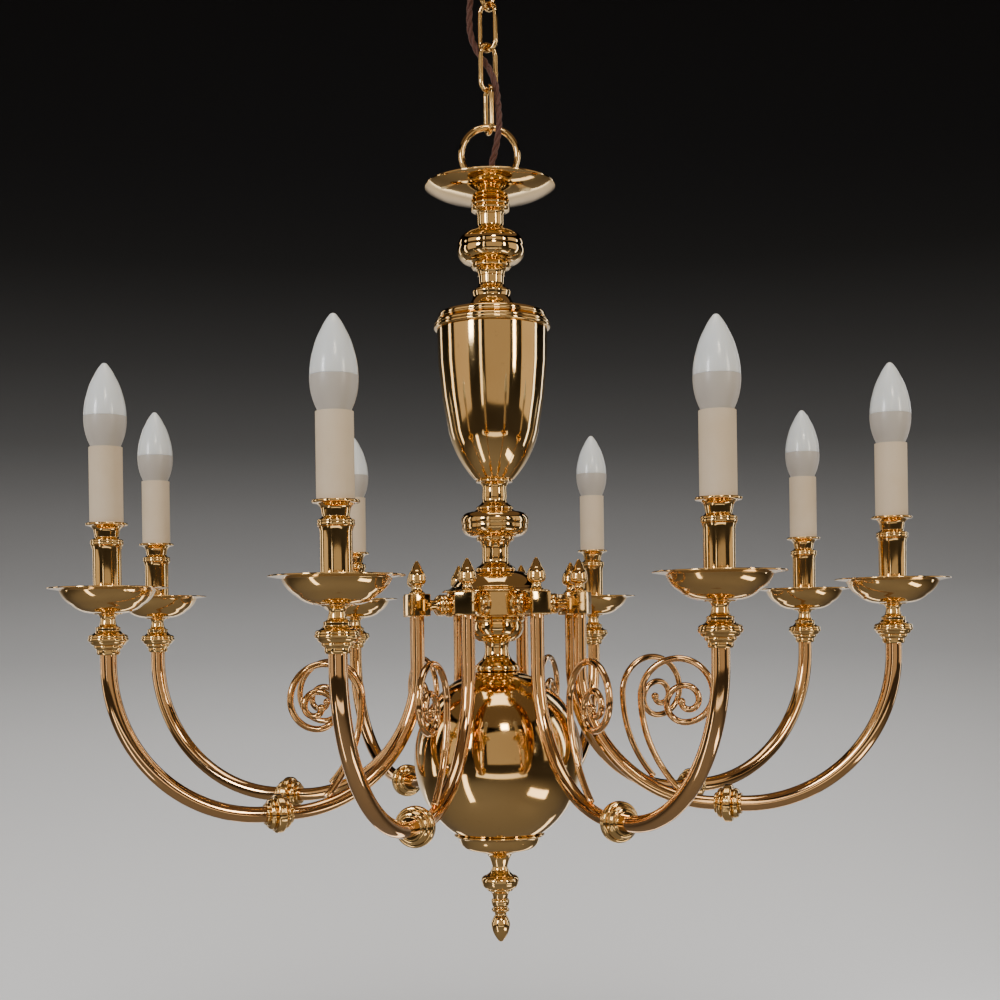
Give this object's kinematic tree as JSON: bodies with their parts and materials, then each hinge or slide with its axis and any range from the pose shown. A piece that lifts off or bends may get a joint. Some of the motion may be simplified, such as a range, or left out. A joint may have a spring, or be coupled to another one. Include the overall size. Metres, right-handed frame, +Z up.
{
  "type": "multi arm chandelier",
  "caption": "Turned brass chandelier with curved candle arms round a hollow ball, hanging on a short chain from a ceiling rose.",
  "frame": {"origin": "middle of the ceiling plate's top face, where it meets the ceiling", "axes": "+Z up, -Y towards the front, +X to the right seen from the front"},
  "size_m": [0.797, 0.797, 1.014],
  "materials": {
    "brass": "polished and lacquered, warm golden",
    "steel": "zinc plated",
    "flex": "twisted brown flex",
    "wire": "insulated twin wire",
    "white_plastic": "moulded",
    "dark_plastic": "moulded",
    "candle_card": "cream candle sleeve",
    "bulb_base": "pale grey",
    "bulb_dome": "frosted, bluish white"
  },
  "bodies": {
    "ceiling": {"ceiling_plate": "steel", "ceiling_hook": "brass", "ceiling_rose": "brass", "rose_collar": "brass", "rose_screw": "steel", "cable_gland": "dark_plastic", "terminal_block": "white_plastic"},
    "link_3": {"chain_link_3": "brass"},
    "link_2": {"chain_link_2": "brass"},
    "link_1": {"chain_link_1": "brass"},
    "fitting": {"flex": "flex", "hanging_loop": "brass", "loop_boss": "brass", "column_flex": "flex", "top_dish": "brass", "top_collar": "brass", "upper_knop": "brass", "urn_lid": "brass", "urn_body": "brass", "lower_knop": "brass", "hub_dome": "brass", "hub_drum": "brass", "hub_cup": "brass", "ball_neck": "brass", "ball": "brass", "bottom_collar": "brass", "drop_finial": "brass", "tie_rod": "steel", "rod_nuts": "steel", "hub_connector": "white_plastic", "arm_necks": "brass", "arm_blocks": "brass", "acorn_finials": "brass", "inner_arms": "brass", "outer_arms": "brass", "arm_knops": "brass", "scrolls": "brass", "candle_knops": "brass", "drip_pans": "brass", "candle_cups": "brass", "candle_stems": "steel", "lampholders": "dark_plastic", "candle_tubes": "candle_card", "arm_wires": "wire"},
    "bulb_1": {"bulb_base_1": "bulb_base", "bulb_dome_1": "bulb_dome"},
    "bulb_2": {"bulb_base_2": "bulb_base", "bulb_dome_2": "bulb_dome"},
    "bulb_3": {"bulb_base_3": "bulb_base", "bulb_dome_3": "bulb_dome"},
    "bulb_4": {"bulb_base_4": "bulb_base", "bulb_dome_4": "bulb_dome"},
    "bulb_5": {"bulb_base_5": "bulb_base", "bulb_dome_5": "bulb_dome"},
    "bulb_6": {"bulb_base_6": "bulb_base", "bulb_dome_6": "bulb_dome"},
    "bulb_7": {"bulb_base_7": "bulb_base", "bulb_dome_7": "bulb_dome"},
    "bulb_8": {"bulb_base_8": "bulb_base", "bulb_dome_8": "bulb_dome"}
  },
  "joints": [
    {"name": "hook_to_link_3", "type": "hinge", "parent": "ceiling", "child": "link_3", "pos_m": [0, 0, -0.103], "axis": [0.5878, 0.809, 0], "range_deg": [-12, 12]},
    {"name": "link_3_to_link_2", "type": "hinge", "parent": "link_3", "child": "link_2", "pos_m": [0, 0, -0.1433], "axis": [0.809, -0.5878, 0], "range_deg": [-6, 6]},
    {"name": "link_2_to_link_1", "type": "hinge", "parent": "link_2", "child": "link_1", "pos_m": [0, 0, -0.1789], "axis": [0.2588, -0.9659, 0], "range_deg": [-6, 6]},
    {"name": "link_1_to_fitting", "type": "hinge", "parent": "link_1", "child": "fitting", "pos_m": [0, 0, -0.2186], "axis": [1, 0, 0], "range_deg": [-10, 10], "deforming": ["flex"]},
    {"name": "bulb_1_out", "type": "slide", "parent": "fitting", "child": "bulb_1", "axis": [0, 0, 1], "range_m": [0, 0.032]},
    {"name": "bulb_2_out", "type": "slide", "parent": "fitting", "child": "bulb_2", "axis": [0, 0, 1], "range_m": [0, 0.032]},
    {"name": "bulb_3_out", "type": "slide", "parent": "fitting", "child": "bulb_3", "axis": [0, 0, 1], "range_m": [0, 0.032]},
    {"name": "bulb_4_out", "type": "slide", "parent": "fitting", "child": "bulb_4", "axis": [0, 0, 1], "range_m": [0, 0.032]},
    {"name": "bulb_5_out", "type": "slide", "parent": "fitting", "child": "bulb_5", "axis": [0, 0, 1], "range_m": [0, 0.032]},
    {"name": "bulb_6_out", "type": "slide", "parent": "fitting", "child": "bulb_6", "axis": [0, 0, 1], "range_m": [0, 0.032]},
    {"name": "bulb_7_out", "type": "slide", "parent": "fitting", "child": "bulb_7", "axis": [0, 0, 1], "range_m": [0, 0.032]},
    {"name": "bulb_8_out", "type": "slide", "parent": "fitting", "child": "bulb_8", "axis": [0, 0, 1], "range_m": [0, 0.032]}
  ]
}
